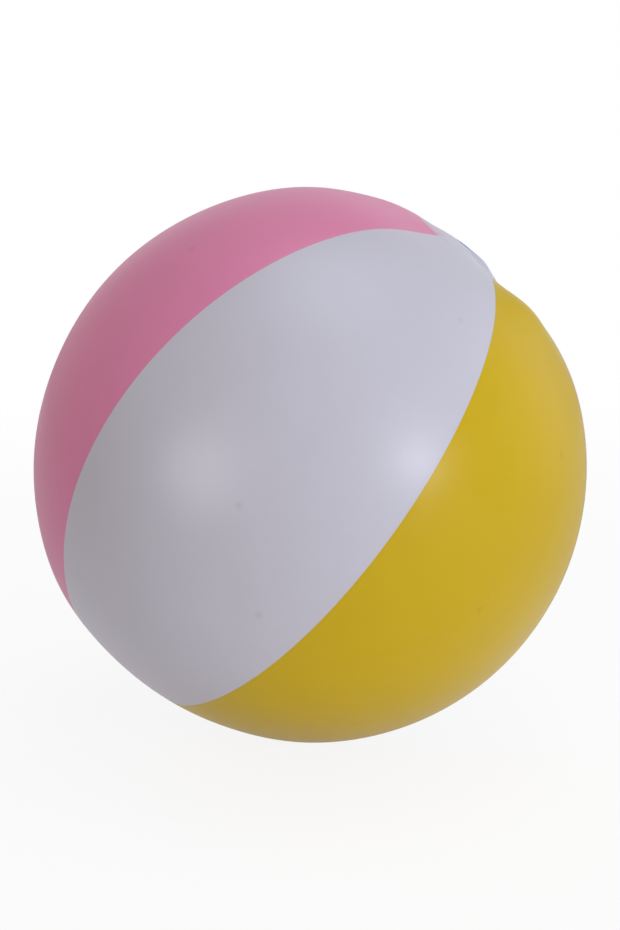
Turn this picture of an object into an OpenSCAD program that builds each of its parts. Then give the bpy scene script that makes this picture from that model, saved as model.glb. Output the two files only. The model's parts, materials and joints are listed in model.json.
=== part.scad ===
// Beach ball: six welded vinyl gores, two polar discs and a push-in mouth valve.
// Millimetres. The origin is the ball's centre and +Z is up as the ball lies on the ground.

/* [Ball] */
// Diameter of the blown-up ball at its equator
ball_d = 330; // [280:5:400]
// Diameter of the circle where the round body runs into the flatter crown at each pole
crown_d = 165; // [140:5:190]
// How far the face of a polar disc lies below a full sphere
crown_drop = 7.8; // [6:0.1:10]
// Thickness of the vinyl film
film_t = 0.3; // [0.2:0.05:0.5]

/* [Gores] */
// Angle that a white gore takes round the polar axis; a coloured one takes the rest of 120 degrees
white_gore_angle = 57; // [55:0.1:63]
// Width of the welded margin that each gore tucks under its neighbour
weld_lap = 4; // [3:0.5:6]
// Width of the step from a gore into its welded margin
weld_step = 2; // [1:0.5:3]
// How far the margin is cut back from the tip of its gore
margin_trim = 1; // [0.5:0.5:2]

/* [Polar discs] */
// Diameter of a polar disc
disc_d = 80; // [60:2:92]
// Width of the weld between a disc and the gore tips under it
disc_lap = 7; // [4:1:12]
// Width of the level margin of the gore tips that shows around a disc
disc_margin = 1; // [0.5:0.5:3]

/* [Valve] */
// Latitude of the valve on its gore, towards the upper pole
valve_latitude = 35; // [20:1:45]
// Diameter of the hole in the gore
valve_hole_d = 34; // [32:1:38]
// Outer diameter of the welded flange
flange_d = 44; // [40:1:52]
// Thickness of the flange
flange_t = 0.8; // [0.5:0.1:1.5]
// Diameter of the well that the stem sinks into
well_d = 28; // [26:1:31]
// Thickness of the folding collar
collar_t = 0.6; // [0.4:0.1:1]

/* [Stem] */
// Length of the mouthpiece tube with its lip and foot
stem_l = 12.2; // [11:0.2:16]
// Outer diameter of the tube
stem_d = 9.5; // [8.5:0.1:11]
// Diameter of the air passage
bore_d = 6; // [5.6:0.1:7]
// Diameter of the lip at the mouth
lip_d = 12; // [11.4:0.2:13]
// Thickness of the lip
lip_t = 1.2; // [1:0.1:2]
// Diameter of the foot that the collar closes on
foot_d = 13; // [12:0.2:15]
// Thickness of the foot
foot_t = 1; // [0.6:0.1:2]

/* [Stopper] */
// Diameter of the stopper's head
head_d = 12; // [11:0.2:14]
// Thickness of the head
head_t = 1.5; // [1.2:0.1:2]
// Length of the plug under the head
plug_l = 4; // [2.5:0.25:4.5]
// Diameter of the plug's tip
plug_tip_d = 3.6; // [2.5:0.1:3.8]
// Width of the strap
strap_w = 4; // [3:0.5:6]
// Thickness of the strap
strap_t = 0.8; // [0.5:0.1:1]
// Length of each straight leg of the strap
strap_leg = 3; // [2.5:0.25:3.5]

/* [Check flap] */
// Diameter of the flap over the tube's inner end
flap_d = 8.4; // [8:0.1:11]
// Thickness of the flap
flap_t = 0.5; // [0.3:0.1:0.6]
// Diameter of the rolled bead at the flap's root, which it turns on
flap_bead_d = 0.6; // [0.6:0.05:0.8]
// Length of the bead
flap_bead_w = 3; // [2:0.5:4]

/* [Rest pose] */
// Lean of the polar axis from upright, towards +X
lean = 38.2; // [0:0.1:90]
// Turn of the ball about its polar axis
spin = -17.3; // [-180:0.1:180]

/* [Clearances] */
// Gap between welded or seated pieces
seat_gap = 0.1; // [0.05:0.05:0.2]
// Gap between pieces that move against each other
moving_gap = 0.3; // [0.2:0.05:0.4]

/* [Hidden] */
$fn = 96;

white = [0.86, 0.86, 0.90];
pink = [0.82, 0.40, 0.54];
yellow = [0.88, 0.72, 0.05];
blue = [0.16, 0.42, 0.72];
clear_vinyl = [0.90, 0.92, 0.93, 0.85];

// Sizes of the envelope
ball_r = ball_d / 2;
crown_r = crown_d / 2;
disc_r = disc_d / 2;
crown_z = sqrt(pow(ball_r, 2) - pow(crown_r, 2));
disc_z = ball_r - crown_drop;
ledge_r = disc_r + disc_margin;
ledge_z = disc_z - film_t;
tip_r = disc_r - disc_lap;

// Each crown is an arc about the polar axis, from the body's edge to the ledge of the disc
dome_centre_z = (pow(ledge_z, 2) + pow(ledge_r, 2) - pow(crown_z, 2) - pow(crown_r, 2))
    / (2 * (ledge_z - crown_z));
dome_r = sqrt(pow(crown_r, 2) + pow(crown_z - dome_centre_z, 2));

// A margin is bonded to its own gore on a strip just inside the seam
bond_inner = -weld_step;
bond_outer = -weld_step / 4;
margin_inner = -1.25 * weld_step;

// Gores alternate white and coloured, counted from the one that faces the viewer
valve_gore = 4;
function gore_angle(index) = index % 2 == 0 ? white_gore_angle : 120 - white_gore_angle;
function gore_middle(index) = -90 + 60 * index;

// Heights in the valve are measured outwards from the ball's skin on the valve's axis
hole_r = valve_hole_d / 2;
flange_r = flange_d / 2;
well_r = well_d / 2;
flange_outer_r = ball_r - film_t - seat_gap;
flange_inner_r = flange_outer_r - flange_t;
flange_top_z = sqrt(pow(flange_outer_r, 2) - pow(well_r, 2)) - ball_r;
flange_bottom_z = sqrt(pow(flange_inner_r, 2) - pow(well_r, 2)) - ball_r;
lip_top_z = -head_t - moving_gap;
foot_bottom_z = lip_top_z - stem_l;
foot_top_z = foot_bottom_z + foot_t;
bore_r = bore_d / 2;
foot_r = foot_d / 2;
collar_rim_r = well_r - seat_gap;
collar_foot_r = foot_r + moving_gap;

// The strap is a loop from the lip's edge up to the head's edge, and the stopper turns about the loop's middle
strap_low_z = lip_top_z - lip_t / 2;
strap_high_z = -head_t / 2;
strap_loop_r = (strap_high_z - strap_low_z) / 2;
strap_root_x = max(lip_d, head_d) / 2 + moving_gap;
stopper_axis_x = strap_root_x + strap_leg;
stopper_axis_z = (strap_high_z + strap_low_z) / 2;

flap_r = flap_d / 2;
flap_top_z = foot_bottom_z - moving_gap;

// Cutting shapes run on past what they cut by these amounts
spare_angle = 1;
spare_l = 1;

// Lays the ball down as it rests on the ground
module lying() {
    rotate([0, lean, 0])
        rotate([0, 0, spin])
            children();
}

// Stands a piece on the ball's skin, with its own +Z pointing straight out and +X towards the equator
module on_valve() {
    rotate([0, 0, gore_middle(valve_gore)])
        rotate([0, 90 - valve_latitude, 0])
            translate([0, 0, ball_r])
                children();
}

// Outline of the ball's half section outside a radius, shrunk by a depth under the skin
module skin_outline(depth, from_r) {
    intersection() {
        circle(r = ball_r - depth);
        translate([0, dome_centre_z])
            circle(r = dome_r - depth);
        translate([0, -dome_centre_z])
            circle(r = dome_r - depth);
        translate([from_r, depth - ledge_z])
            square([ball_r, 2 * (ledge_z - depth)]);
    }
}

// Section of a layer of film between two depths under the skin
module film_section(depth, thickness, from_r) {
    difference() {
        skin_outline(depth, from_r);
        skin_outline(depth + thickness, from_r);
    }
}

// Part of a layer of film on one seam, between two distances across the seam
module seam_strip(depth, thickness, from, to, from_r) {
    reach = asin(max(abs(from), abs(to)) / tip_r) + spare_angle;
    intersection() {
        rotate([0, 0, -reach])
            rotate_extrude(angle = 2 * reach)
                film_section(depth, thickness, from_r);
        translate([0, from, -ball_r])
            cube([ball_d, to - from, ball_d]);
    }
}

// One gore with its margin, which steps in by a film's thickness to lie under the next gore round
module gore(index) {
    angle = gore_angle(index);
    rotate([0, 0, gore_middle(index) - angle / 2]) {
        rotate_extrude(angle = angle)
            film_section(0, film_t, tip_r);
        rotate([0, 0, angle]) {
            seam_strip(film_t / 2, film_t + seat_gap, bond_inner, bond_outer, tip_r + 2 * margin_trim);
            seam_strip(film_t + seat_gap, film_t, margin_inner, weld_lap, tip_r + margin_trim);
        }
    }
}

module polar_disc() {
    translate([0, 0, ledge_z])
        cylinder(r = disc_r, h = film_t);
}

module white_gore_front() {
    color(white)
        gore(0);
}

module yellow_gore() {
    color(yellow)
        gore(1);
}

module white_gore_right() {
    color(white)
        gore(2);
}

module blue_gore() {
    color(blue)
        gore(3);
}

module white_gore_left() {
    color(white)
        difference() {
            gore(valve_gore);
            on_valve()
                translate([0, 0, -hole_r])
                    cylinder(r = hole_r, h = 2 * hole_r);
        }
}

module pink_gore() {
    color(pink)
        gore(5);
}

module top_disc() {
    color(white)
        polar_disc();
}

module bottom_disc() {
    color(white)
        mirror([0, 0, 1])
            polar_disc();
}

// Ring of the valve, curved like the film that it is welded under
module valve_flange() {
    color(clear_vinyl)
        on_valve()
            translate([0, 0, -ball_r])
                rotate_extrude()
                    intersection() {
                        difference() {
                            circle(r = flange_outer_r);
                            circle(r = flange_inner_r);
                        }
                        translate([well_r, 0])
                            square([flange_r - well_r, ball_r]);
                    }
}

// Thin web from the flange's edge down to the stem's foot
module valve_collar() {
    color(clear_vinyl)
        on_valve()
            rotate_extrude()
                polygon([
                    [collar_rim_r, flange_top_z],
                    [collar_rim_r, flange_bottom_z],
                    [collar_foot_r + collar_t, foot_top_z],
                    [collar_foot_r + collar_t, foot_bottom_z],
                    [collar_foot_r, foot_bottom_z],
                    [collar_foot_r, foot_top_z],
                    [collar_rim_r - collar_t, flange_bottom_z],
                    [collar_rim_r - collar_t, flange_top_z]
                ]);
}

module valve_stem() {
    color(clear_vinyl)
        on_valve()
            difference() {
                union() {
                    translate([0, 0, foot_bottom_z])
                        cylinder(d = stem_d, h = stem_l);
                    translate([0, 0, lip_top_z - lip_t])
                        cylinder(d = lip_d, h = lip_t);
                    translate([0, 0, foot_bottom_z])
                        cylinder(r = foot_r, h = foot_t);
                }
                translate([0, 0, foot_bottom_z - spare_l])
                    cylinder(r = bore_r, h = stem_l + 2 * spare_l);
            }
}

// Head that lies level with the ball's skin, and a tapered plug that can swing out of the tube
module stopper() {
    plug_r = bore_r - moving_gap;
    color(clear_vinyl)
        on_valve() {
            translate([0, 0, -head_t])
                cylinder(d = head_d, h = head_t);
            translate([0, 0, lip_top_z - plug_l])
                cylinder(r1 = plug_tip_d / 2, r2 = plug_r, h = plug_l);
            translate([0, 0, lip_top_z])
                cylinder(r = plug_r, h = moving_gap + head_t / 2);
        }
}

// Bending strip in a loop, from the stem's lip round to the stopper's head
module stopper_strap() {
    leg_from_lip = stopper_axis_x - lip_d / 2 - moving_gap;
    leg_from_head = stopper_axis_x - head_d / 2 - moving_gap;
    color(clear_vinyl)
        on_valve()
            translate([stopper_axis_x, strap_w / 2, stopper_axis_z])
                rotate([90, 0, 0])
                    linear_extrude(height = strap_w) {
                        intersection() {
                            difference() {
                                circle(r = strap_loop_r + strap_t / 2);
                                circle(r = strap_loop_r - strap_t / 2);
                            }
                            translate([0, -strap_loop_r - strap_t])
                                square([strap_loop_r + strap_t, 2 * (strap_loop_r + strap_t)]);
                        }
                        translate([-leg_from_lip, -strap_loop_r - strap_t / 2])
                            square([leg_from_lip, strap_t]);
                        translate([-leg_from_head, strap_loop_r - strap_t / 2])
                            square([leg_from_head, strap_t]);
                    }
}

// Disc under the tube's inner end, with a bead at its root for it to turn on
module check_flap() {
    color(clear_vinyl)
        on_valve() {
            translate([0, 0, flap_top_z - flap_t])
                cylinder(r = flap_r, h = flap_t);
            translate([flap_r, flap_bead_w / 2, flap_top_z - flap_t / 2])
                rotate([90, 0, 0])
                    cylinder(d = flap_bead_d, h = flap_bead_w);
        }
}

lying() white_gore_front();
lying() yellow_gore();
lying() white_gore_right();
lying() blue_gore();
lying() white_gore_left();
lying() pink_gore();
lying() top_disc();
lying() bottom_disc();
lying() valve_flange();
lying() valve_collar();
lying() valve_stem();
lying() stopper();
lying() stopper_strap();
lying() check_flap();
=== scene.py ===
# %% [markdown]
# # A beach ball of welded vinyl film
# The ball is blown up from six long gores of soft film, two round discs over the gore tips and a
# push-in mouth valve. The imported model already holds every piece at its real size and place, so this
# script starts from it and never moves it. It makes each piece again as the soft, slightly uneven thing
# that it is and gives it a finish. All but the collar and the strap ride on the same body as before.

import json
import math

import bmesh
import bpy
from mathutils import Matrix, Vector


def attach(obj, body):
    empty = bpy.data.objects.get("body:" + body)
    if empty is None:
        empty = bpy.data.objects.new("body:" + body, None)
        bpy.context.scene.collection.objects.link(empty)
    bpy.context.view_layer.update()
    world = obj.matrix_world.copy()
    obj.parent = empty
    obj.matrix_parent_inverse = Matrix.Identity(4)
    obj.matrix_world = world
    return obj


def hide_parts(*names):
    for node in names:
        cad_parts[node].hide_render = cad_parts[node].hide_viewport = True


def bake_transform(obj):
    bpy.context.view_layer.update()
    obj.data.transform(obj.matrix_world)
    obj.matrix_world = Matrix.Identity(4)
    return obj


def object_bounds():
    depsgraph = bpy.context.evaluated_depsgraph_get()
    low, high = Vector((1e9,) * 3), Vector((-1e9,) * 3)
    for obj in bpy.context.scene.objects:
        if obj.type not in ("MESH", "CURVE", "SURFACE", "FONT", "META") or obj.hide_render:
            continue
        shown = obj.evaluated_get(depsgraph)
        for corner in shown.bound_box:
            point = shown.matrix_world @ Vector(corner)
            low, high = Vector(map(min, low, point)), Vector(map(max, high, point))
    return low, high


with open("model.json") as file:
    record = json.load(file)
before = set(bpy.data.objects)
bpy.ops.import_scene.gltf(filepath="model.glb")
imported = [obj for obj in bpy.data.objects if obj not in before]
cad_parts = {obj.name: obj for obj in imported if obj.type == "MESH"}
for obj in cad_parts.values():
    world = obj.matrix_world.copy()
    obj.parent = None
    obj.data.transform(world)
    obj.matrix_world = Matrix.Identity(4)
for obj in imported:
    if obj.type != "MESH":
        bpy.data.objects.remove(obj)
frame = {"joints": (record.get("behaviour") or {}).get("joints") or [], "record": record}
cad_box = [list(corner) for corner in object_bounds()]
print("box of the solids, in metres:", cad_box)

# %% [markdown]
# ## Where the ball's poles and its valve are
# The ball lies on its side a little, so its polar axis leans to the right. Lengths along a gore are
# easiest to say in the ball's own frame, with Z through the two discs. That frame could be written as
# two angles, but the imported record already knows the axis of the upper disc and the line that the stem
# slides on. Taking both from the record keeps this script right if the ball is laid down another way.

# %% The ball's own frame
mounts = {mount["name"]: mount for mount in frame["record"]["mounts"]}
joints = {joint["name"]: joint for joint in frame["joints"]}
BALL_RADIUS = -mounts["floor_rest"]["pos_m"][2]
pole = Vector(mounts["top_disc_face"]["axis"]).normalized()
disc_height = Vector(mounts["top_disc_face"]["pos_m"]).length
valve_out = Vector(joints["stem_slide"]["axis"]).normalized()

GORE_COUNT = 6
FIRST_GORE = math.radians(-90)
GORE_STEP = math.tau / GORE_COUNT
VALVE_GORE = 4
valve_longitude = FIRST_GORE + VALVE_GORE * GORE_STEP

# The valve's gore fixes how far the ball is turned about its axis
valve_level = (valve_out - pole * valve_out.dot(pole)).normalized()
zero_longitude = Matrix.Rotation(-valve_longitude, 3, pole) @ valve_level
lying = Matrix((zero_longitude, pole.cross(zero_longitude), pole)).transposed().to_4x4()

lean = math.degrees(math.acos(pole.z))
print(f"ball radius {BALL_RADIUS:.4f} m, discs {disc_height:.4f} m out, lean {lean:.1f} degrees")

# %% [markdown]
# ## The camera
# The picture was taken from a little above the ball's middle, from about three ball widths away. A
# portrait lens at that distance gives the same outline and the same seams. The camera looks along a line
# that passes a hair above the ball's middle, as in the picture, with no shift and no depth of field, so
# that other views stay simple.

# %% The camera
CAMERA_DISTANCE = 0.99
CAMERA_ELEVATION = math.radians(13.45)
CAMERA_LENS = 63.4
CAMERA_RAISE = 0.00065

camera_back = Vector((0, -math.cos(CAMERA_ELEVATION), math.sin(CAMERA_ELEVATION)))
camera_right = Vector((1, 0, 0))
camera_up = camera_back.cross(camera_right)

camera_data = bpy.data.cameras.new("camera")
camera_data.lens = CAMERA_LENS
camera_data.dof.use_dof = False
camera = bpy.data.objects.new("camera", camera_data)
camera.location = camera_back * CAMERA_DISTANCE + camera_up * CAMERA_RAISE
camera.rotation_mode = "QUATERNION"
camera.rotation_quaternion = (-camera_back).to_track_quat("-Z", "Y")
bpy.context.collection.objects.link(camera)
bpy.context.scene.camera = camera
print(f"camera {camera.location.length:.2f} m away with a {CAMERA_LENS} mm lens")

# %% [markdown]
# ## Arithmetic in a node tree
# Most of this ball follows rules: a gore is a strip of a rounded skin, and a disc is a cap of the same
# skin. Geometry Nodes are a good place for rules, but long sums are hard to read as single Math nodes.
# The small class below lets a sum be written in the usual way. Each sign adds one Math node.

# %% Numbers that live in a node tree
def plug(tree, value, socket):
    """Joins a node's output to a socket, or sets a plain value on it."""
    if isinstance(value, Quantity):
        tree.links.new(value.socket, socket)
    elif isinstance(value, bpy.types.NodeSocket):
        tree.links.new(value, socket)
    else:
        socket.default_value = value


class Quantity:
    """A number in a node tree that the usual signs work on."""

    def __init__(self, tree, socket):
        self.tree = tree
        self.socket = socket

    def math(self, operation, *others):
        node = self.tree.nodes.new("ShaderNodeMath")
        node.operation = operation
        for socket, value in zip(node.inputs, (self, *others)):
            plug(self.tree, value, socket)
        return Quantity(self.tree, node.outputs[0])

    def __add__(self, other):
        return self.math("ADD", other)

    def __sub__(self, other):
        return self.math("SUBTRACT", other)

    def __mul__(self, other):
        return self.math("MULTIPLY", other)

    def __truediv__(self, other):
        return self.math("DIVIDE", other)

    __radd__ = __add__
    __rmul__ = __mul__

    def __rsub__(self, other):
        return self * -1.0 + other

    def ramp(self, start, end):
        """Goes smoothly from 0 at start to 1 at end."""
        node = self.tree.nodes.new("ShaderNodeMapRange")
        node.interpolation_type = "SMOOTHSTEP"
        for socket, value in zip(node.inputs, (self, start, end, 0.0, 1.0)):
            plug(self.tree, value, socket)
        return Quantity(self.tree, node.outputs[0])

    def hill(self, middle, reach):
        """Is 1 at the middle and dies away over the reach on both sides."""
        away = (self - middle) / reach
        return (away * away * -1.0).math("EXPONENT")


# %% Small helpers for node trees
def new_tree(name, kind, inputs, outputs):
    """Makes a node tree with its two ends. An input is given by its usual number, or else by its type."""
    tree = bpy.data.node_groups.new(name, kind)
    for label, usual in inputs.items():
        socket_type = usual if isinstance(usual, str) else "NodeSocketFloat"
        socket = tree.interface.new_socket(name=label, in_out="INPUT", socket_type=socket_type)
        if usual != socket_type:
            socket.default_value = usual
    for label, socket_type in outputs.items():
        tree.interface.new_socket(name=label, in_out="OUTPUT", socket_type=socket_type)
    return tree, tree.nodes.new("NodeGroupInput"), tree.nodes.new("NodeGroupOutput")


def number(node, label):
    """The named output of a node, as a number to do sums with."""
    return Quantity(node.id_data, node.outputs[label])


def split(tree, vector):
    """The three parts of a vector socket."""
    node = tree.nodes.new("ShaderNodeSeparateXYZ")
    tree.links.new(vector, node.inputs[0])
    return [Quantity(tree, output) for output in node.outputs]


def join(tree, x, y, z):
    """A vector socket from three numbers."""
    node = tree.nodes.new("ShaderNodeCombineXYZ")
    for socket, value in zip(node.inputs, (x, y, z)):
        plug(tree, value, socket)
    return node.outputs[0]


def vector_math(tree, operation, *values):
    """Adds one Vector Math node and gives it back."""
    node = tree.nodes.new("ShaderNodeVectorMath")
    node.operation = operation
    for socket, value in zip(node.inputs, values):
        plug(tree, value, socket)
    return node


# %% [markdown]
# ## The shape of the blown-up skin
# Seen from the side, the ball is round but for a flatter crown at each pole, where the gore tips run in
# under a disc. Near the poles each gore swells a little between its seams. No ball is quite even, so some
# rises and hollows follow, each a soft hill with a place, a reach and a height. All this could be
# sculpted, but as one rule it serves the six gores and the two discs alike, and they always meet.

# %% Sizes of the skin
FILM = 0.0003
DISC_RADIUS = 0.040
DISC_WELD = 0.007
DISC_MARGIN = 0.001
CROWN_RADIUS = 0.0825
BODY_ROUNDING = 0.004
LEDGE_ROUNDING = 0.003
# Sine of the lowest latitude at which a ledge is worked out, far outside the ball
LEDGE_FROM = 0.2

tip_radius = DISC_RADIUS - DISC_WELD
ledge_radius = DISC_RADIUS + DISC_MARGIN
ledge_height = disc_height - FILM
tip_angle = math.atan(tip_radius / ledge_height)
crown_height = math.sqrt(BALL_RADIUS ** 2 - CROWN_RADIUS ** 2)
# The crown's arc has its middle on the axis, as far from the ledge's rim as from the edge of the crown
rim_squared = ledge_height ** 2 + ledge_radius ** 2
dome_centre = (rim_squared - BALL_RADIUS ** 2) / (2 * (ledge_height - crown_height))
dome_radius = math.hypot(CROWN_RADIUS, crown_height - dome_centre)
print(f"crown arc of {dome_radius:.4f} m about {dome_centre:.4f} m on the axis")

# %% Rises and hollows
# Fitted to the ball's outline in the picture and then rounded. The last one is given, not fitted
# Longitude, latitude and reach in degrees in the ball's own frame, then the height in metres
SWELLINGS = {
    "hollow behind the upper disc": (45, 75, 11.5, -0.0021),
    "drawn-in seam behind the upper disc": (59, 76, 5, -0.0016),
    "fold at the back of the upper disc": (93, 75.5, 3, 0.0016),
    "slack middle of the upper disc": (110, 79.5, 5, -0.0016),
    "blue gore's tip standing up behind the disc": (114, 71.5, 8, 0.0054),
    "yellow gore's tip beside the upper disc": (-35, 69.5, 7, 0.0033),
    "low edge of the upper disc": (-21, 79.5, 6.5, -0.0032),
    "full front of the upper disc": (-131, 82, 7, 0.0045),
    "pink gore's slack tip before the upper disc": (-133, 72.5, 13, -0.0019),
    "far side of the pink gore's tip": (180, 69.5, 7.5, 0.0018),
    "pink gore's upper swelling": (-170, 49.5, 17, 0.0015),
    "pink gore's flat side": (-158, -14, 18.5, -0.0011),
    "pink gore's lower swelling": (-134, -60.5, 13.5, 0.0012),
    "drawn-in seam by the lower disc": (-34, -57.5, 12.5, -0.0010),
    "full belly on the right": (-2, -9, 28, 0.0005),
    "full neck on the right": (-7, 70, 13, 0.0006),
}
# On one side the upper disc and the gore tips under it reach a little further from the pole
TIPS_ASIDE = 0.0020
TIPS_TOWARDS = math.radians(-135)
TIPS_REACH = math.radians(28)
PUCKER_ANGLE = math.radians(19)
PUCKER_REACH = math.radians(9)
UPPER_PUCKER = 0.0005
LOWER_PUCKER = 0.0001
RIPPLE_ANGLE = math.radians(20)
RIPPLE_REACH = math.radians(8)
RIPPLE_HEIGHT = 0.00012
RIPPLES_ROUND = 4.0


# %% The skin as a node group
def towards(longitude, latitude):
    """Unit direction in the ball's frame, from angles in degrees."""
    east = math.radians(longitude)
    north = math.radians(latitude)
    return Vector((math.cos(north) * math.cos(east), math.cos(north) * math.sin(east), math.sin(north)))


def make_skin_group():
    """Distance of the ball's skin from its middle, in any direction."""
    tree, given, result = new_tree(
        "ball skin",
        "GeometryNodeTree",
        {
            "Direction": "NodeSocketVector",
            "Ball Radius": BALL_RADIUS,
            "Dome Centre": dome_centre,
            "Dome Radius": dome_radius,
            "Ledge Height": ledge_height,
            "Upper Pucker": UPPER_PUCKER,
            "Lower Pucker": LOWER_PUCKER,
            "Ripple Height": RIPPLE_HEIGHT,
        },
        {"Radius": "NodeSocketFloat"},
    )
    x, y, z = split(tree, given.outputs["Direction"])
    height = z.math("ABSOLUTE")
    level = 1.0 - z * z

    # A sphere, cut by the arc of each crown and by the ledge of each disc
    centre = number(given, "Dome Centre")
    reach = number(given, "Dome Radius")
    dome = (reach * reach - centre * centre * level).math("SQRT") + centre * height
    ledge = number(given, "Ledge Height") / height.math("MAXIMUM", LEDGE_FROM)
    radius = number(given, "Ball Radius").math("SMOOTH_MIN", dome, BODY_ROUNDING)
    radius = radius.math("SMOOTH_MIN", ledge, LEDGE_ROUNDING)

    # Near the poles a gore stands up between its seams and sinks along them, by as much on average
    longitude = y.math("ARCTAN2", x)
    from_pole = height.math("ARCCOSINE")
    swell = ((longitude - FIRST_GORE) * (GORE_COUNT / 2)).math("COSINE").math("ABSOLUTE") - 2 / math.pi
    upper = z.math("GREATER_THAN", 0.0)
    depth = number(given, "Upper Pucker") * upper + number(given, "Lower Pucker") * (1.0 - upper)
    radius = radius + swell * depth * from_pole.hill(PUCKER_ANGLE, PUCKER_REACH)

    # Fine ripples run out from the discs along the gores
    noise = tree.nodes.new("ShaderNodeTexNoise")
    ring = join(tree, longitude.math("COSINE"), longitude.math("SINE"), z)
    tree.links.new(ring, noise.inputs["Vector"])
    noise.inputs["Scale"].default_value = RIPPLES_ROUND
    ripple = (Quantity(tree, noise.outputs[0]) - 0.5) * number(given, "Ripple Height")
    radius = radius + ripple * from_pole.hill(RIPPLE_ANGLE, RIPPLE_REACH)

    for east, north, width, rise in SWELLINGS.values():
        facing = vector_math(tree, "DOT_PRODUCT", given.outputs["Direction"], towards(east, north))
        nearness = Quantity(tree, facing.outputs["Value"]) - 1.0
        radius = radius + (nearness * (2 / math.radians(width) ** 2)).math("EXPONENT") * rise

    plug(tree, radius, result.inputs["Radius"])
    return tree


skin_group = make_skin_group()
print("skin group with", len(skin_group.nodes), "nodes")


# %% Using the skin in another tree
tips_aside = Vector((math.cos(TIPS_TOWARDS), math.sin(TIPS_TOWARDS), 0)) * (TIPS_ASIDE / ledge_height)


def skin_point(tree, longitude, from_north, lift):
    """A point on the skin at two angles in radians, raised by a lift."""
    around = from_north.math("SINE")
    direction = join(
        tree,
        around * longitude.math("COSINE"),
        around * longitude.math("SINE"),
        from_north.math("COSINE"),
    )
    this_side = (longitude - TIPS_TOWARDS).math("COSINE") * 0.5 + 0.5
    near_tips = from_north.ramp(0.0, tip_angle) * from_north.hill(0.0, TIPS_REACH)
    aside = vector_math(tree, "SCALE", tips_aside)
    plug(tree, this_side * near_tips, aside.inputs["Scale"])
    direction = vector_math(tree, "ADD", direction, aside.outputs[0]).outputs[0]
    direction = vector_math(tree, "NORMALIZE", direction).outputs[0]
    skin = tree.nodes.new("GeometryNodeGroup")
    skin.node_tree = skin_group
    tree.links.new(direction, skin.inputs["Direction"])
    distance = number(skin, "Radius") + lift
    scaled = vector_math(tree, "SCALE", direction)
    plug(tree, distance, scaled.inputs["Scale"])
    return scaled.outputs[0]


def grid_places(tree, columns, rows):
    """A flat grid, and how far across and along it each point is, from 0 to 1."""
    grid = tree.nodes.new("GeometryNodeMeshGrid")
    for label, value in {"Size X": 1.0, "Size Y": 1.0, "Vertices X": columns, "Vertices Y": rows}.items():
        grid.inputs[label].default_value = value
    position = tree.nodes.new("GeometryNodeInputPosition")
    across, along, _ = split(tree, position.outputs[0])
    return grid.outputs["Mesh"], across + 0.5, along + 0.5


def chain(tree, geometry, kind, **settings):
    """Passes the geometry through one more node and gives back its output."""
    node = tree.nodes.new(kind)
    tree.links.new(geometry, node.inputs[0])
    for label, value in settings.items():
        plug(tree, value, node.inputs[label])
    return node.outputs[0]


def keep_value(tree, geometry, name, value, data_type="FLOAT"):
    """Stores a value on every point, for the finish to read."""
    node = tree.nodes.new("GeometryNodeStoreNamedAttribute")
    node.data_type = data_type
    node.domain = "POINT"
    tree.links.new(geometry, node.inputs["Geometry"])
    node.inputs["Name"].default_value = name
    plug(tree, value, node.inputs["Value"])
    return node.outputs[0]


def end_tree(tree, geometry, material, result):
    """Ends a tree with smooth faces, real geometry and its finish."""
    geometry = chain(tree, geometry, "GeometryNodeSetShadeSmooth")
    geometry = chain(tree, geometry, "GeometryNodeRealizeInstances")
    geometry = chain(tree, geometry, "GeometryNodeSetMaterial", Material=material)
    tree.links.new(geometry, result.inputs["Geometry"])


# %% [markdown]
# ## Film finishes
# The vinyl is a soft satin film: an even colour, a broad blurred shine and hardly any texture. What
# breaks it up is faint, and works at several scales: cloudy patches where the film was stretched or
# handled, smaller smudges, a few soft specks, a shallow orange peel from the rollers, and a pressed band
# where it is welded. Every film uses these, so they are one shader group, and a material sets its values.

# %% The film's shared texture
FILM_MOTTLE = 0.05
FILM_ROUGHNESS = 0.34
FILM_PEEL = 0.000006
FAR_FROM_EDGE = 1.0
WELD = 0.004
CLOUD_SCALE = 14.0
CLOUD_DETAIL = 3.0
CLOUD_ROUGHNESS = 0.06
SMUDGE_SCALE = 55.0
SMUDGE_DETAIL = 4.0
SMUDGE_ROUGHNESS = 0.05
SMUDGE_SHADE = 0.4
PEEL_SCALE = 420.0
PEEL_DETAIL = 2.0
SPECK_SCALE = 22.0
SPECK_RADIUS = 0.0034
SPECK_SHADE = 0.10
# Shares of its width, between which a welded band fades
WELD_FADES = 0.8
WELD_ENDS = 1.1
WELD_POLISH = 0.04
WELD_SMOOTHING = 0.6


def noise_reading(tree, coordinates, scale, detail):
    """A noise pattern on the given coordinates, centred on zero."""
    noise = tree.nodes.new("ShaderNodeTexNoise")
    tree.links.new(coordinates, noise.inputs["Vector"])
    noise.inputs["Scale"].default_value = scale
    noise.inputs["Detail"].default_value = detail
    return Quantity(tree, noise.outputs[0]) - 0.5


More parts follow.
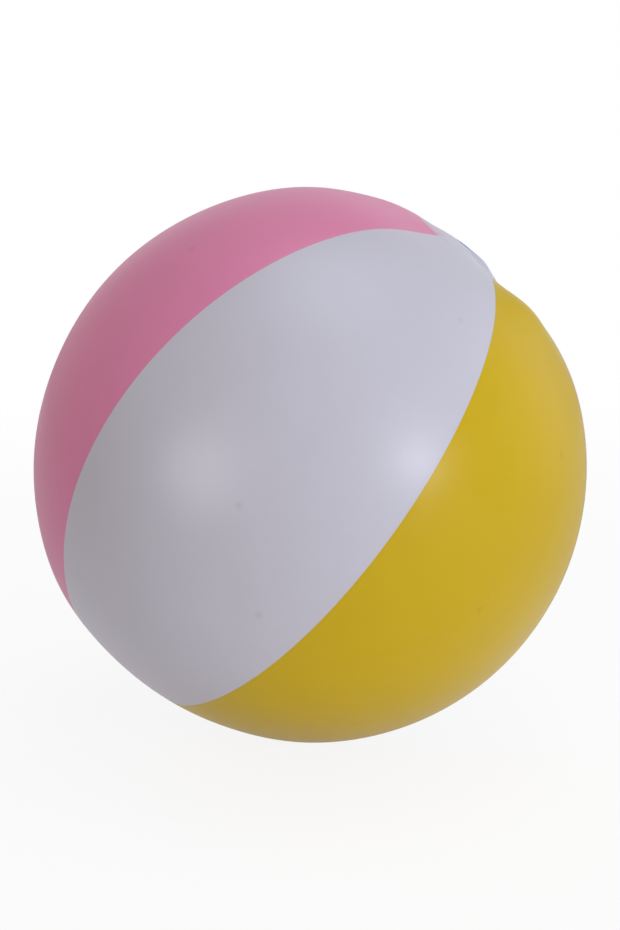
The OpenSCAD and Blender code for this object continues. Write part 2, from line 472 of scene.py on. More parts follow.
def make_film_group():
    """Colour, roughness and surface height of soft vinyl film with a welded band along its edge."""
    tree, given, result = new_tree(
        "vinyl film",
        "ShaderNodeTree",
        {
            "Colour": "NodeSocketColor",
            "Mottle": FILM_MOTTLE,
            "Roughness": FILM_ROUGHNESS,
            "Peel": FILM_PEEL,
            "Edge Distance": FAR_FROM_EDGE,
            "Weld Width": WELD,
        },
        {
            "Colour": "NodeSocketColor",
            "Roughness": "NodeSocketFloat",
            "Height": "NodeSocketFloat",
        },
    )
    places = tree.nodes.new("ShaderNodeTexCoord").outputs["Object"]
    cloud = noise_reading(tree, places, CLOUD_SCALE, CLOUD_DETAIL)
    smudge = noise_reading(tree, places, SMUDGE_SCALE, SMUDGE_DETAIL)
    peel = noise_reading(tree, places, PEEL_SCALE, PEEL_DETAIL)

    speck = tree.nodes.new("ShaderNodeTexVoronoi")
    tree.links.new(places, speck.inputs["Vector"])
    speck.inputs["Scale"].default_value = SPECK_SCALE
    in_speck = 1.0 - number(speck, "Distance").ramp(0.0, SPECK_RADIUS * SPECK_SCALE)

    shade = 1.0 + (cloud + smudge * SMUDGE_SHADE) * number(given, "Mottle") - in_speck * SPECK_SHADE
    tinted = vector_math(tree, "SCALE", given.outputs["Colour"])
    plug(tree, shade, tinted.inputs["Scale"])
    tree.links.new(tinted.outputs[0], result.inputs["Colour"])

    width = number(given, "Weld Width")
    weld = 1.0 - number(given, "Edge Distance").ramp(width * WELD_FADES, width * WELD_ENDS)
    roughness = number(given, "Roughness") + cloud * CLOUD_ROUGHNESS + smudge * SMUDGE_ROUGHNESS
    plug(tree, roughness - weld * WELD_POLISH, result.inputs["Roughness"])
    plug(tree, peel * number(given, "Peel") * (1.0 - weld * WELD_SMOOTHING), result.inputs["Height"])
    return tree


film_group = make_film_group()
print("film group with", len(film_group.nodes), "nodes")

# %% Colours of the films
WHITE = (0.60, 0.59, 0.66)
PINK = (0.775, 0.25, 0.425)
YELLOW = (0.617, 0.419, 0.003)
BLUE = (0.035, 0.19, 0.50)
FILM_SHINE = 0.28


def new_material(name):
    """An empty material with its shader and output."""
    material = bpy.data.materials.new(name)
    material.use_nodes = True
    return material, material.node_tree, material.node_tree.nodes["Principled BSDF"]


def stored(tree, name):
    """A node that reads what was stored on the piece's points."""
    node = tree.nodes.new("ShaderNodeAttribute")
    node.attribute_name = name
    return node


def add_film(tree, shader, **values):
    """Joins the film's texture to a shader, with some values of its own, and gives back its node."""
    film = tree.nodes.new("ShaderNodeGroup")
    film.node_tree = film_group
    for label, value in values.items():
        plug(tree, value, film.inputs[label.replace("_", " ")])
    bump = tree.nodes.new("ShaderNodeBump")
    bump.inputs["Distance"].default_value = 1.0
    tree.links.new(film.outputs["Height"], bump.inputs["Height"])
    tree.links.new(bump.outputs["Normal"], shader.inputs["Normal"])
    tree.links.new(film.outputs["Colour"], shader.inputs["Base Color"])
    tree.links.new(film.outputs["Roughness"], shader.inputs["Roughness"])
    return film


def film_material(name, colour, weld_width=WELD):
    """Soft satin vinyl of one colour."""
    material, tree, shader = new_material(name)
    edge = number(stored(tree, "edge"), "Fac")
    film = add_film(tree, shader, Colour=(*colour, 1.0), Edge_Distance=edge, Weld_Width=weld_width)
    shader.inputs["Specular IOR Level"].default_value = FILM_SHINE
    return material, film


white_vinyl, _ = film_material("white vinyl", WHITE)
pink_vinyl, _ = film_material("pink vinyl", PINK)
yellow_vinyl, _ = film_material("yellow vinyl", YELLOW)
blue_vinyl, _ = film_material("blue vinyl", BLUE)
print("films:", [material.name for material in (white_vinyl, pink_vinyl, yellow_vinyl, blue_vinyl)])

# %% [markdown]
# ## The polar discs' own film
# A disc is the same white film, but it lies on six gore tips, and the coloured ones show through it
# faintly. The tips end seven millimetres inside the rim, so the tint is a ring of three short arcs. It
# is painted from each point's place on the flat disc, which the disc carries as an attribute.

# %% White film over coloured tips
# Half the blur where the tips end, in metres, and at their sides, in the cosine of an angle
TIP_BLUR = 0.0015
TIP_SIDE_BLUR = 0.02
# Number of the gore, its colour and how much of that shows
COLOURED_TIPS = {"yellow": (1, YELLOW, 0.12), "blue": (3, BLUE, 0.10), "pink": (5, PINK, 0.22)}


def disc_material():
    """White film with faint arcs of colour near its rim."""
    material, film = film_material("white vinyl disc", WHITE, DISC_WELD)
    tree = material.node_tree
    x, y, _ = split(tree, stored(tree, "place").outputs["Vector"])
    from_axis = (x * x + y * y).math("SQRT")
    over_tips = from_axis.ramp(tip_radius - TIP_BLUR, tip_radius + TIP_BLUR)
    side = math.cos(GORE_STEP / 2)
    colour = (*WHITE, 1.0)
    for index, tint, strength in COLOURED_TIPS.values():
        middle = FIRST_GORE + index * GORE_STEP
        inside = (x * math.cos(middle) + y * math.sin(middle)) / from_axis
        over_this = over_tips * inside.ramp(side - TIP_SIDE_BLUR, side + TIP_SIDE_BLUR)
        mix = tree.nodes.new("ShaderNodeMix")
        mix.data_type = "RGBA"
        plug(tree, over_this * strength, mix.inputs["Factor"])
        # A Mix node takes its two colours at inputs 6 and 7, and gives a colour at output 2
        plug(tree, colour, mix.inputs[6])
        plug(tree, (*tint, 1.0), mix.inputs[7])
        colour = mix.outputs[2]
    tree.links.new(colour, film.inputs["Colour"])
    return material


disc_vinyl = disc_material()
print("disc film:", disc_vinyl.name, "with", len(disc_vinyl.node_tree.nodes), "nodes")

# %% [markdown]
# ## The six gores
# A gore is a long pointed strip, cut flat and blown round. Its right-hand edge is a margin that is tucked
# under the next gore and welded there, and its left-hand edge lies on top of its neighbour. The welding
# bar melts both films together and presses that edge almost flush, so a seam is one clean line of colour.
# A gore could be cut from a sphere, but a grid laid on the skin gives even faces, and crowds its columns
# where the film steps. The tree makes the outer face, and Solidify gives it the film's thickness inwards.

# %% Sizes of a gore
WHITE_ANGLE = math.radians(57)
coloured_angle = 2 * GORE_STEP - WHITE_ANGLE
SEAT = 0.00001
PRESSED_EDGE = 0.00003
STEP_REACH = 0.003
FILM_COLUMNS = 72
MARGIN_COLUMNS = 8
GORE_ROWS = 281


# %% The gore tree
def make_gore_tree():
    """One gore with its tucked margin, from tip to tip."""
    tree, given, result = new_tree(
        "gore",
        "GeometryNodeTree",
        {
            "Middle": 0.0,
            "Half Angle": WHITE_ANGLE / 2,
            "Tip Angle": tip_angle,
            "Margin": WELD,
            "Step Reach": STEP_REACH,
            "Film": FILM,
            "Pressed Edge": PRESSED_EDGE,
            "Seat": SEAT,
            "Vinyl": "NodeSocketMaterial",
        },
        {"Geometry": "NodeSocketGeometry"},
    )
    columns = FILM_COLUMNS + MARGIN_COLUMNS
    geometry, across, along = grid_places(tree, columns + 1, GORE_ROWS)
    tip = number(given, "Tip Angle")
    from_north = math.pi - tip - along * (math.pi - 2 * tip)

    # Columns crowd towards both edges of the film, then run evenly across the margin
    film_share = FILM_COLUMNS / columns
    over_film = (across / film_share).math("MINIMUM", 1.0)
    side = (over_film * math.pi).math("COSINE") * -1.0
    over_margin = (across - film_share).math("MAXIMUM", 0.0) / (1 - film_share) * number(given, "Margin")

    half = number(given, "Half Angle")
    girth = from_north.math("SINE") * BALL_RADIUS
    from_free_edge = half * (side + 1.0) * girth + over_margin
    from_seam = half * (1.0 - side) * girth
    longitude = number(given, "Middle") + half * side + over_margin / girth

    # The pressed edge stands up a hair, and the other edge sinks a little more and goes under it
    reach = number(given, "Step Reach")
    edge = number(given, "Pressed Edge")
    rise = edge * (1.0 - from_free_edge.ramp(0.0, reach))
    sink = (edge + number(given, "Seat")) * (1.0 - from_seam.ramp(0.0, reach))
    under = number(given, "Film") * over_margin.ramp(0.0, reach)
    place = skin_point(tree, longitude, from_north, rise - sink - under)

    # The distance from the edge is kept while the points are still on the flat grid that it is read from
    geometry = keep_value(tree, geometry, "edge", from_free_edge)
    geometry = chain(tree, geometry, "GeometryNodeSetPosition", Position=place)
    end_tree(tree, geometry, given.outputs["Vinyl"], result)
    return tree


gore_tree = make_gore_tree()
print("gore tree with", len(gore_tree.nodes), "nodes")


# %% From a tree to a plain mesh
SHARP_EDGE = math.radians(40)
# Points closer than this are taken as one
CLOSE = 5e-6


def grown(name, tree, thickness, cutter=None, **sizes):
    """Runs a tree with its named sizes, thickens the film and keeps the result as a plain mesh."""
    piece = bpy.data.objects.new(name, bpy.data.meshes.new(name))
    bpy.context.collection.objects.link(piece)
    nodes = piece.modifiers.new("shape", "NODES")
    nodes.node_group = tree
    sockets = {item.name: item.identifier for item in tree.interface.items_tree if item.in_out == "INPUT"}
    for label, value in sizes.items():
        nodes[sockets[label.replace("_", " ")]] = value
    film = piece.modifiers.new("film", "SOLIDIFY")
    film.thickness = thickness
    film.offset = -1.0
    if cutter:
        cut = piece.modifiers.new("hole", "BOOLEAN")
        cut.operation = "DIFFERENCE"
        cut.solver = "EXACT"
        cut.object = cutter
        piece.modifiers.new("clean cut", "WELD").merge_threshold = CLOSE
    settled = bpy.data.meshes.new_from_object(piece.evaluated_get(bpy.context.evaluated_depsgraph_get()))
    piece.modifiers.clear()
    piece.data = settled
    piece.data.transform(lying)
    piece.data.shade_smooth()
    piece.data.set_sharp_from_angle(angle=SHARP_EDGE)
    return piece


# %% A cutter for the valve's hole
# Columns are the valve's own axes: towards the equator, along the gore's width, and straight out
valve_y = pole.cross(valve_out).normalized()
valve_x = valve_y.cross(valve_out)
on_valve = Matrix((valve_x, valve_y, valve_out)).transposed().to_4x4()
on_valve.translation = valve_out * BALL_RADIUS

HOLE_RADIUS = 0.017
HOLE_SIDES = 128


def hole_cutter():
    """A round bar through the film where the valve goes."""
    shape = bmesh.new()
    bmesh.ops.create_cone(
        shape, cap_ends=True, segments=HOLE_SIDES,
        radius1=HOLE_RADIUS, radius2=HOLE_RADIUS, depth=2 * HOLE_RADIUS,
    )
    mesh = bpy.data.meshes.new("valve hole")
    shape.to_mesh(mesh)
    shape.free()
    mesh.transform(lying.inverted() @ on_valve)
    cutter = bpy.data.objects.new("valve hole", mesh)
    bpy.context.collection.objects.link(cutter)
    return cutter


# %% The six gores in place
gore_films = {
    "white_gore_front": (white_vinyl, "white_vinyl"),
    "yellow_gore": (yellow_vinyl, "yellow_vinyl"),
    "white_gore_right": (white_vinyl, "white_vinyl"),
    "blue_gore": (blue_vinyl, "blue_vinyl"),
    "white_gore_left": (white_vinyl, "white_vinyl"),
    "pink_gore": (pink_vinyl, "pink_vinyl"),
}
hole = hole_cutter()
for index, (node, (vinyl, slot)) in enumerate(gore_films.items()):
    gore = grown(
        node + "_film", gore_tree, FILM,
        cutter=hole if index == VALVE_GORE else None,
        Middle=FIRST_GORE + index * GORE_STEP,
        Half_Angle=(WHITE_ANGLE if index % 2 == 0 else coloured_angle) / 2,
        Vinyl=vinyl,
    )
    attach(gore, "envelope")
    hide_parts(node)
    print(gore.name, len(gore.data.polygons), "faces")
bpy.data.objects.remove(hole)

# %% [markdown]
# ## The two polar discs
# Each disc is a round patch welded over the six gore tips. It follows the skin, one film higher, and its
# rim is pressed down into the gores. Over the tips the outer ring stands a hair above the middle, and a
# fine ridge crosses the ring at each seam where one tip laps over the next. A grid wrapped round the axis
# gives rings that follow the rim, and merging close points closes the middle and the join.

# %% The disc tree
DISC_COLUMNS = 180
DISC_ROWS = 48
PRESSED_RIM = 0.00006
TIP_STEP = 0.00012
TIP_STEP_REACH = 0.002
RIM_REACH = 0.0045
RIDGE = 0.00010
RIDGE_SHARPNESS = 0.22


def make_disc_tree():
    """A round patch of film on the skin about one pole."""
    tree, given, result = new_tree(
        "polar disc",
        "GeometryNodeTree",
        {
            "Side": 1.0,
            "Radius": DISC_RADIUS,
            "Tip Radius": tip_radius,
            "Ledge Height": ledge_height,
            "Film": FILM,
            "Pressed Rim": PRESSED_RIM,
            "Vinyl": "NodeSocketMaterial",
        },
        {"Geometry": "NodeSocketGeometry"},
    )
    geometry, across, along = grid_places(tree, DISC_COLUMNS + 1, DISC_ROWS + 1)
    side = number(given, "Side")
    longitude = across * math.tau

    # Rings crowd towards the rim, and run the way that turns the faces of this side outwards
    outwards = 0.5 - (along - 0.5) * side
    out = number(given, "Radius") * (outwards * (math.pi / 2)).math("SINE")
    slope = (out / number(given, "Ledge Height")).math("ARCTANGENT")
    from_north = slope * side + (1.0 - side) * (math.pi / 2)

    tip = number(given, "Tip Radius")
    over_tips = out.ramp(tip - TIP_STEP_REACH, tip + TIP_STEP_REACH)
    seam = ((longitude - FIRST_GORE) * (GORE_COUNT / 2)).math("COSINE")
    ridge = seam.hill(0.0, RIDGE_SHARPNESS) * over_tips * RIDGE
    inside_rim = (number(given, "Radius") - out).ramp(0.0, RIM_REACH)
    raised = number(given, "Film") + over_tips * TIP_STEP + ridge - TIP_STEP
    lift = raised * inside_rim + number(given, "Pressed Rim") * (1.0 - inside_rim)
    place = skin_point(tree, longitude, from_north, lift)

    geometry = keep_value(tree, geometry, "edge", number(given, "Radius") - out)
    flat_place = join(tree, out * longitude.math("COSINE"), out * longitude.math("SINE"), 0.0)
    geometry = keep_value(tree, geometry, "place", flat_place, "FLOAT_VECTOR")
    geometry = chain(tree, geometry, "GeometryNodeSetPosition", Position=place)
    geometry = chain(tree, geometry, "GeometryNodeMergeByDistance", Distance=CLOSE)
    end_tree(tree, geometry, given.outputs["Vinyl"], result)
    return tree


disc_tree = make_disc_tree()
for node, side in {"top_disc": 1.0, "bottom_disc": -1.0}.items():
    disc = grown(node + "_film", disc_tree, FILM, Side=side, Vinyl=disc_vinyl)
    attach(disc, "envelope")
    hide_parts(node)
    print(disc.name, len(disc.data.polygons), "faces")

# %% [markdown]
# ## The valve's finish
# The valve is moulded in a soft, cloudy clear vinyl. It is thick enough to look milky, shinier than the
# film, and lets some light into its thin walls. A little transmission with a rough surface gives that.

# %% Milky clear vinyl
CLEAR = (0.84, 0.87, 0.90)
CLEAR_MOTTLE = 0.12
CLEAR_ROUGHNESS = 0.22
CLEAR_PEEL = 0.000004
CLEAR_TRANSMISSION = 0.30
CLEAR_IOR = 1.53


def clear_material():
    """Cloudy moulded vinyl with a faint flow pattern."""
    material, tree, shader = new_material("clear moulded vinyl")
    add_film(
        tree, shader,
        Colour=(*CLEAR, 1.0), Mottle=CLEAR_MOTTLE, Roughness=CLEAR_ROUGHNESS, Peel=CLEAR_PEEL,
    )
    shader.inputs["Transmission Weight"].default_value = CLEAR_TRANSMISSION
    shader.inputs["IOR"].default_value = CLEAR_IOR
    return material


clear_vinyl = clear_material()
print("valve finish:", clear_vinyl.name)

# %% [markdown]
# ## Turned pieces of the valve
# The flange, collar, stem and stopper are all round about the valve's axis. Each could be stacked from
# cylinders, but moulded vinyl has no hard corners. So each is one outline turned about the axis, and
# every corner of the outline has its own rounding. Sizes are in millimetres, and heights are measured
# outwards from the ball's skin.

# %% Outlines with rounded corners
# Millimetres in a metre
MILLIMETRES = 1000
ROUND_POINTS = 6
TURN_SIDES = 112
# A rounding takes up no more than this share of the side next to it
CORNER_SHARE = 0.48


def rounded(corners):
    """Replaces each corner (radius, height, rounding) of a closed outline by a short curve."""
    points = []
    for index, (x, y, rounding) in enumerate(corners):
        here = Vector((x, y))
        before = Vector(corners[index - 1][:2]) - here
        after = Vector(corners[(index + 1) % len(corners)][:2]) - here
        if rounding == 0:
            points.append(here)
            continue
        start = here + before.normalized() * min(rounding, before.length * CORNER_SHARE)
        end = here + after.normalized() * min(rounding, after.length * CORNER_SHARE)
        for step in range(ROUND_POINTS + 1):
            share = step / ROUND_POINTS
            points.append(start * (1 - share) ** 2 + here * 2 * share * (1 - share) + end * share ** 2)
    return points


def turn(corners):
    """A closed outline in millimetres, turned about the valve's axis."""
    outline = [point / MILLIMETRES for point in rounded(corners)]
    shape = bmesh.new()
    rings = []
    for point in outline:
        on_axis = point.x < CLOSE
        count = 1 if on_axis else TURN_SIDES
        ring = []
        for side in range(count):
            angle = math.tau * side / TURN_SIDES
            ring.append(shape.verts.new((point.x * math.cos(angle), point.x * math.sin(angle), point.y)))
        rings.append(ring)
    for index, ring in enumerate(rings):
        onward = rings[(index + 1) % len(rings)]
        if len(ring) == 1 and len(onward) == 1:
            continue
        for side in range(TURN_SIDES):
            after = (side + 1) % TURN_SIDES
            corners_of_face = [ring[side % len(ring)], ring[after % len(ring)]]
            corners_of_face += [onward[after % len(onward)], onward[side % len(onward)]]
            shape.faces.new(list(dict.fromkeys(corners_of_face)))
    bmesh.ops.recalc_face_normals(shape, faces=shape.faces)
    return shape


def settle_shape(name, shape):
    """Puts a valve piece on the ball, with smooth faces and the milky finish."""
    mesh = bpy.data.meshes.new(name)
    shape.to_mesh(mesh)
    shape.free()
    mesh.transform(on_valve)
    mesh.shade_smooth()
    mesh.set_sharp_from_angle(angle=SHARP_EDGE)
    mesh.materials.append(clear_vinyl)
    piece = bpy.data.objects.new(name, mesh)
    bpy.context.collection.objects.link(piece)
    print(name, len(mesh.polygons), "faces")
    return piece


def turned(name, corners):
    """A finished piece of the valve from its outline."""
    return settle_shape(name, turn(corners))


def up_valve(height):
    """A point on the valve's axis, at a height in millimetres above the skin."""
    return valve_out * (BALL_RADIUS + height / MILLIMETRES)


# %% The flange under the film
FLANGE_OUTER = 22.0
WELL = 14.0
FLANGE_TOP_DEPTH = 0.28
FLANGE_THICKNESS = 0.92


def bent(radius, depth):
    """Height at a radius of a shell that lies a depth under the ball's skin."""
    ball = BALL_RADIUS * MILLIMETRES
    return math.sqrt((ball - depth) ** 2 - radius ** 2) - ball


flange_low = FLANGE_TOP_DEPTH + FLANGE_THICKNESS
flange_mid = (WELL + FLANGE_OUTER) / 2
flange = turned("valve_flange_ring", [
    (WELL, bent(WELL, flange_low), 0.3),
    (flange_mid, bent(flange_mid, flange_low), 2.0),
    (FLANGE_OUTER, bent(FLANGE_OUTER, flange_low), 0.3),
    (FLANGE_OUTER, bent(FLANGE_OUTER, FLANGE_TOP_DEPTH), 0.3),
    (flange_mid, bent(flange_mid, FLANGE_TOP_DEPTH), 2.0),
    (WELL, bent(WELL, FLANGE_TOP_DEPTH), 0.3),
])
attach(flange, "envelope")
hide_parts("valve_flange")

# %% [markdown]
# ## The folding collar
# The collar is a thin web that lets the stem be pushed flush into the ball and pulled out to blow it up.
# It follows the envelope at its rim and the stem at its foot, and laps a little into both, as they are
# moulded together. Rows of points run down its wall.

# %% The collar
HEAD = 1.5
MOVING_GAP = 0.3
STEM_LENGTH = 12.2
FOOT = 1.0
FOOT_RADIUS = 6.5
COLLAR_WALL = 0.6
COLLAR_ROWS = 14
MOULDED_LAP = 0.15

lip_top = -HEAD - MOVING_GAP
foot_bottom = lip_top - STEM_LENGTH
foot_top = foot_bottom + FOOT
rim_top = bent(WELL, FLANGE_TOP_DEPTH) - MOULDED_LAP
rim_bottom = bent(WELL, flange_low)
collar_rim = WELL + MOULDED_LAP
collar_foot = FOOT_RADIUS - MOULDED_LAP


def wall(offset, rows):
    """Points along the inside or outside of the collar's cone."""
    points = []
    for row in rows:
        share = row / COLLAR_ROWS
        radius = collar_rim - COLLAR_WALL + (collar_foot - collar_rim + COLLAR_WALL) * share + offset
        points.append((radius, rim_bottom + (foot_top - rim_bottom) * share, 0))
    return points


collar = turned("valve_collar_web", [
    (collar_rim, rim_top, 0.2),
    *wall(COLLAR_WALL, range(COLLAR_ROWS + 1)),
    (collar_foot + COLLAR_WALL, foot_bottom, 0.2),
    (collar_foot, foot_bottom, 0.2),
    *wall(0.0, range(COLLAR_ROWS, -1, -1)),
    (collar_rim - COLLAR_WALL, rim_top, 0.2),
])
up_valve(rim_bottom)
up_valve(foot_top)
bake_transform(collar)
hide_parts("valve_collar")

# %% [markdown]
# ## The stem
# The stem is the tube that is held between the lips. It has a flat lip that the stopper closes on, a
# low ring half way down for the teeth to hold, and a foot that the collar is moulded to.

# %% The stem
STEM_RADIUS = 4.75
BORE = 3.0
LIP_RADIUS = 6.0
LIP = 1.2
RING_HEIGHT = 0.35
RING_WIDTH = 1.6

lip_bottom = lip_top - LIP
ring_middle = (lip_bottom + foot_top) / 2
stem = turned("valve_stem_tube", [
    (BORE, foot_bottom, 0.3),
    (FOOT_RADIUS, foot_bottom, 0.3),
    (FOOT_RADIUS, foot_top, 0.4),
    (STEM_RADIUS, foot_top, 0.8),
    (STEM_RADIUS, ring_middle - RING_WIDTH, 0.6),
    (STEM_RADIUS + RING_HEIGHT, ring_middle, 1.2),
    (STEM_RADIUS, ring_middle + RING_WIDTH, 0.6),
    (STEM_RADIUS, lip_bottom, 0.6),
    (LIP_RADIUS, lip_bottom, 0.4),
    (LIP_RADIUS, lip_top, 0.4),
    (BORE, lip_top, 0.3),
])
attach(stem, "stem")
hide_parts("valve_stem")

# %% The stopper
# A flat head, dished for a fingertip, on a plug with a low bead round it
HEAD_RADIUS = 6.0
PLUG_RADIUS = 2.7
PLUG_TIP = 1.8
PLUG_LENGTH = 4.0
DISH = 0.35
DISH_RADIUS = 4.2
DISH_SLOPE = 1.4
BEAD = 0.2
BEAD_HALF = 0.8
BEAD_DEPTH = 1.6

plug_bottom = lip_top - PLUG_LENGTH
bead_height = lip_top - BEAD_DEPTH
stopper = turned("stopper_plug", [
    (0, plug_bottom, 0),
    (PLUG_TIP, plug_bottom, 0.6),
    (PLUG_RADIUS - BEAD, bead_height - BEAD_HALF, 0.4),
    (PLUG_RADIUS, bead_height, 0.5),
    (PLUG_RADIUS - BEAD, bead_height + BEAD_HALF, 0.4),
    (PLUG_RADIUS, -HEAD, 0.3),
    (HEAD_RADIUS, -HEAD, 0.5),
    (HEAD_RADIUS, 0, 0.7),
    (DISH_RADIUS, 0, 0.8),
    (DISH_RADIUS - DISH_SLOPE, -DISH, 0.8),
    (0, -DISH, 0),
])
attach(stopper, "stopper")
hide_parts("stopper")

# %% [markdown]
# ## The strap and the check flap
# A short strap in a loop ties the stopper to the stem, and bends when the stopper is pulled out. It is a
# strip swept along the loop, with enough points round the bend to turn smoothly. The flap is a thin round
# leaf under the tube, hinged at one side.

# %% The strap
STRAP_WIDTH = 4.0
STRAP = 0.8
STRAP_LEG = 3.0
STRAP_ROOT = 0.5
STRAP_ROUNDING = 0.3
LEG_STEPS = 6
BEND_STEPS = 20
strap_low = lip_top - LIP / 2
strap_high = -HEAD / 2
loop_radius = (strap_high - strap_low) / 2
loop_middle = (strap_high + strap_low) / 2
loop_x = LIP_RADIUS + MOVING_GAP + STRAP_LEG


def strap_path():
    """Middle line of the strap in the valve's X and Z, and the way its outer face points."""
    start = LIP_RADIUS - STRAP_ROOT
    legs = [start + (loop_x - start) * step / LEG_STEPS for step in range(LEG_STEPS)]
    path = [(x, strap_low, -math.pi / 2) for x in legs]
    for step in range(BEND_STEPS + 1):
        angle = math.pi * (step / BEND_STEPS - 0.5)
        x = loop_x + loop_radius * math.cos(angle)
        path.append((x, loop_middle + loop_radius * math.sin(angle), angle))
    path += [(x, strap_high, math.pi / 2) for x in reversed(legs)]
    return path


def strap_shape():
    """The strip's cross section, a flat rectangle with rounded edges, carried along its path."""
    half_width = STRAP_WIDTH / 2
    half_thick = STRAP / 2
    section = rounded([
        (-half_width, -half_thick, STRAP_ROUNDING),
        (half_width, -half_thick, STRAP_ROUNDING),
        (half_width, half_thick, STRAP_ROUNDING),
        (-half_width, half_thick, STRAP_ROUNDING),
    ])
    shape = bmesh.new()
    rings = []
    for x, z, facing in strap_path():
        ring = []
        for point in section:
            out_x = x + point.y * math.cos(facing)
            out_z = z + point.y * math.sin(facing)
            ring.append(shape.verts.new((out_x / MILLIMETRES, point.x / MILLIMETRES, out_z / MILLIMETRES)))
        rings.append(ring)
    for ring, onward in zip(rings, rings[1:]):
        for side in range(len(section)):
            after = (side + 1) % len(section)
            shape.faces.new((ring[side], ring[after], onward[after], onward[side]))
    shape.faces.new(rings[0])
    shape.faces.new(rings[-1])
    bmesh.ops.recalc_face_normals(shape, faces=shape.faces)
    return shape


strap = settle_shape("stopper_strap_loop", strap_shape())
up_valve(strap_low + STRAP / 2)
up_valve(strap_high - STRAP / 2)
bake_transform(strap)
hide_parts("stopper_strap")

# %% The check flap
# A round leaf, with a rolled bead at the side that it turns on
FLAP_RADIUS = 4.2
FLAP = 0.5
FLAP_BEAD = 0.3
FLAP_BEAD_HALF = 1.5
flap_top = foot_bottom - MOVING_GAP
leaf = turn([
    (0, flap_top - FLAP, 0),
    (FLAP_RADIUS, flap_top - FLAP, 0.2),
    (FLAP_RADIUS, flap_top, 0.2),
    (0, flap_top, 0),
])
bead = turn([
    (0, -FLAP_BEAD_HALF, 0),
    (FLAP_BEAD, -FLAP_BEAD_HALF, 0.2),
    (FLAP_BEAD, FLAP_BEAD_HALF, 0.2),
    (0, FLAP_BEAD_HALF, 0),
])
bead_place = Vector((FLAP_RADIUS, 0, flap_top - FLAP / 2)) / MILLIMETRES
bead.transform(Matrix.Translation(bead_place) @ Matrix.Rotation(math.pi / 2, 4, "X"))
bead_mesh = bpy.data.meshes.new("flap bead")
bead.to_mesh(bead_mesh)
bead.free()
leaf.from_mesh(bead_mesh)
flap = settle_shape("check_flap_leaf", leaf)
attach(flap, "flap")
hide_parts("check_flap")

# %% [markdown]
# ## The studio
# The ball lies on a white sweep. A soft box on the right is the main light, a broad lamp hangs above, two
# lamps light the back, and the room adds a warm, even glow. Pale cards and walls show in the shine of the
# film and hardly light it, so those lamps are hidden from the matt part of the finish. The two cards
# behind the ball would leave bright fringes along its outline, seen from the front, so they are linked to
# the pieces at the back alone. The background is white for rays that show it straight, and only partly
# white in the shine of the film, so it adds no light to the matt part of the finish.

# %% What the cards behind the ball shine on
back_pieces = bpy.data.collections.new("back of the ball")
for piece in (flange, collar, stem, stopper, strap, flap):
    back_pieces.objects.link(piece)
for node in ("white_gore_right", "blue_gore", "white_gore_left"):
    back_pieces.objects.link(bpy.data.objects[node + "_film"])

# %% The lamps
# Direction as right, up and towards the camera, then distance, width, watts, colour and what it does
LAMPS = {
    "right box": ((0.645, 0.035, 0.763), 1.7, 0.45, 8.7, (0.93, 1.0, 1.14), "light and shine"),
    "left card": ((-0.655, -0.02, 0.755), 1.7, 0.85, 9.4, (0.96, 0.96, 1.05), "shine"),
    "right wall": ((0.95, 0.28, -0.15), 1.6, 1.4, 2.4, (1.0, 1.0, 1.0), "shine"),
    "back wall": ((0.05, 0.46, -0.88), 1.8, 2.0, 2.3, (0.78, 1.0, 1.18), "shine"),
    "top light": ((0.09, 0.95, 0.29), 1.8, 1.2, 7.0, (0.89, 1.0, 1.21), "light and shine"),
    "left back light": ((-0.4, 0.38, -0.83), 1.8, 1.0, 6.0, (0.93, 1.0, 1.14), "light"),
    "right back light": ((0.75, 0.35, -0.56), 1.8, 1.0, 4.0, (0.93, 1.0, 1.14), "light"),
    "left back card": ((-0.75, 0.5, -0.43), 1.7, 0.7, 6.5, (0.93, 1.0, 1.14), "shine behind"),
    "right back card": ((0.72, 0.4, -0.57), 1.7, 0.5, 3.0, (0.93, 1.0, 1.14), "shine behind"),
}
for name, (side, distance, size, power, colour, effect) in LAMPS.items():
    lamp_data = bpy.data.lights.new(name, "AREA")
    lamp_data.shape = "DISK"
    lamp_data.size = size
    lamp_data.energy = power
    lamp_data.color = colour
    lamp = bpy.data.objects.new(name, lamp_data)
    away = (camera_right * side[0] + camera_up * side[1] + camera_back * side[2]).normalized()
    lamp.location = away * distance
    lamp.rotation_mode = "QUATERNION"
    lamp.rotation_quaternion = (-away).to_track_quat("-Z", "Y")
    lamp.visible_camera = False
    lamp.visible_diffuse = "light" in effect
    lamp.visible_glossy = "shine" in effect
    if "behind" in effect:
        lamp.light_linking.receiver_collection = back_pieces
    bpy.context.collection.objects.link(lamp)
    print(name, "at", [round(value, 2) for value in lamp.location])

# %% The world
AMBIENT = (0.463, 0.423, 0.391)
BACKDROP_IN_SHINE = 0.1
world = bpy.data.worlds.new("studio")
world.use_nodes = True
bpy.context.scene.world = world
sky = world.node_tree
sky.nodes.clear()


def seen_white(tree, in_shine):
    """How much white a ray shows: all of it straight or through clear vinyl, and less in a shine."""
    path = tree.nodes.new("ShaderNodeLightPath")
    straight = number(path, "Is Camera Ray").math("MAXIMUM", number(path, "Is Transmission Ray"))
    return straight.math("MAXIMUM", number(path, "Is Glossy Ray") * in_shine)


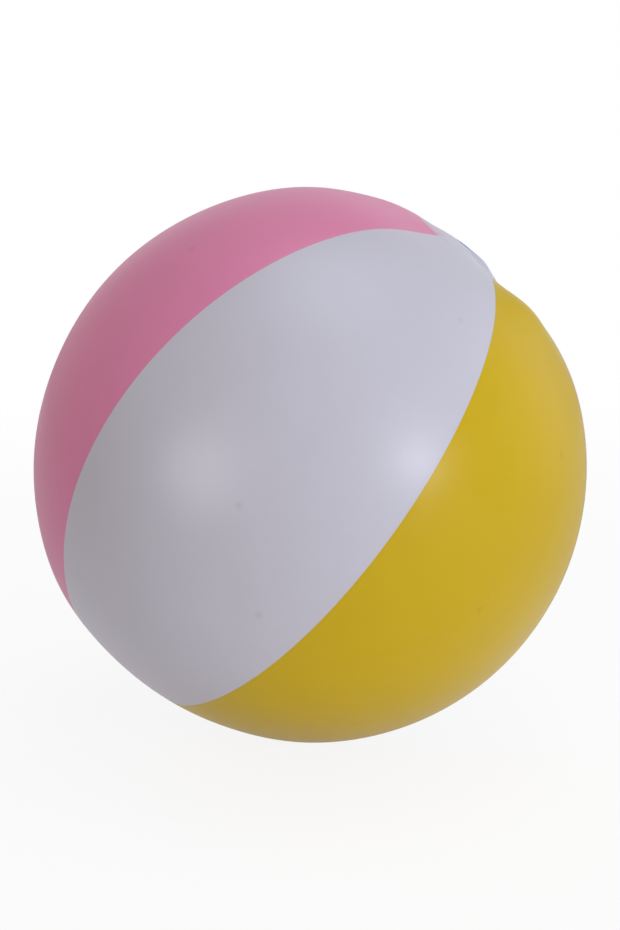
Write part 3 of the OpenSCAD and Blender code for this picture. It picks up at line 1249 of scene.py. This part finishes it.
ambient = sky.nodes.new("ShaderNodeBackground")
ambient.inputs["Color"].default_value = (*AMBIENT, 1.0)
backdrop = sky.nodes.new("ShaderNodeBackground")
backdrop.inputs["Color"].default_value = (1.0, 1.0, 1.0, 1.0)
choice = sky.nodes.new("ShaderNodeMixShader")
plug(sky, seen_white(sky, BACKDROP_IN_SHINE), choice.inputs[0])
sky.links.new(ambient.outputs[0], choice.inputs[1])
sky.links.new(backdrop.outputs[0], choice.inputs[2])
sky.links.new(choice.outputs[0], sky.nodes.new("ShaderNodeOutputWorld").inputs["Surface"])

# %% The floor
FLOOR_SIZE = 6.0
FLOOR_GAP = 0.0002
PAPER = (0.94, 0.94, 0.94)
PAPER_ROUGHNESS = 0.9
FLOOR_GLOW = 0.88
FLOOR_IN_SHINE = 0.5
FAR_FLOOR_IN_SHINE = 0.4
# Distances from the ball's middle over which the floor dims in the shine and glows white
SHINE_START = 0.12
SHINE_END = 0.45
GLOW_START = 0.3
GLOW_END = 1.3
floor_shape = bmesh.new()
bmesh.ops.create_grid(floor_shape, x_segments=1, y_segments=1, size=FLOOR_SIZE)
floor_mesh = bpy.data.meshes.new("floor")
floor_shape.to_mesh(floor_mesh)
floor_shape.free()
floor_mesh.transform(Matrix.Translation((0, 0, cad_box[0][2] - FLOOR_GAP)))
floor = bpy.data.objects.new("floor", floor_mesh)
bpy.context.collection.objects.link(floor)

sweep, sweep_tree, paper = new_material("white paper sweep")
paper.inputs["Base Color"].default_value = (*PAPER, 1.0)
paper.inputs["Roughness"].default_value = PAPER_ROUGHNESS
paper.inputs["Specular IOR Level"].default_value = 0.0
glow = sweep_tree.nodes.new("ShaderNodeEmission")
lit = sweep_tree.nodes.new("ShaderNodeMixShader")
floor_places = sweep_tree.nodes.new("ShaderNodeTexCoord").outputs["Object"]
from_ball = Quantity(sweep_tree, vector_math(sweep_tree, "LENGTH", floor_places).outputs["Value"])
share = FLOOR_GLOW + from_ball.ramp(GLOW_START, GLOW_END) * (1 - FLOOR_GLOW)
in_shine = number(sweep_tree.nodes.new("ShaderNodeLightPath"), "Is Glossy Ray")
dimming = in_shine * from_ball.ramp(SHINE_START, SHINE_END) * (1 - FAR_FLOOR_IN_SHINE)
plug(sweep_tree, 1.0 - dimming, glow.inputs["Strength"])
plug(sweep_tree, seen_white(sweep_tree, FLOOR_IN_SHINE) * share, lit.inputs[0])
sweep_tree.links.new(paper.outputs[0], lit.inputs[1])
sweep_tree.links.new(glow.outputs[0], lit.inputs[2])
sweep_tree.links.new(lit.outputs[0], sweep_tree.nodes["Material Output"].inputs["Surface"])
floor_mesh.materials.append(sweep)
print("floor at", round(floor_mesh.vertices[0].co.z, 4))

# %% Colours as they are written
bpy.context.scene.view_settings.view_transform = "Standard"
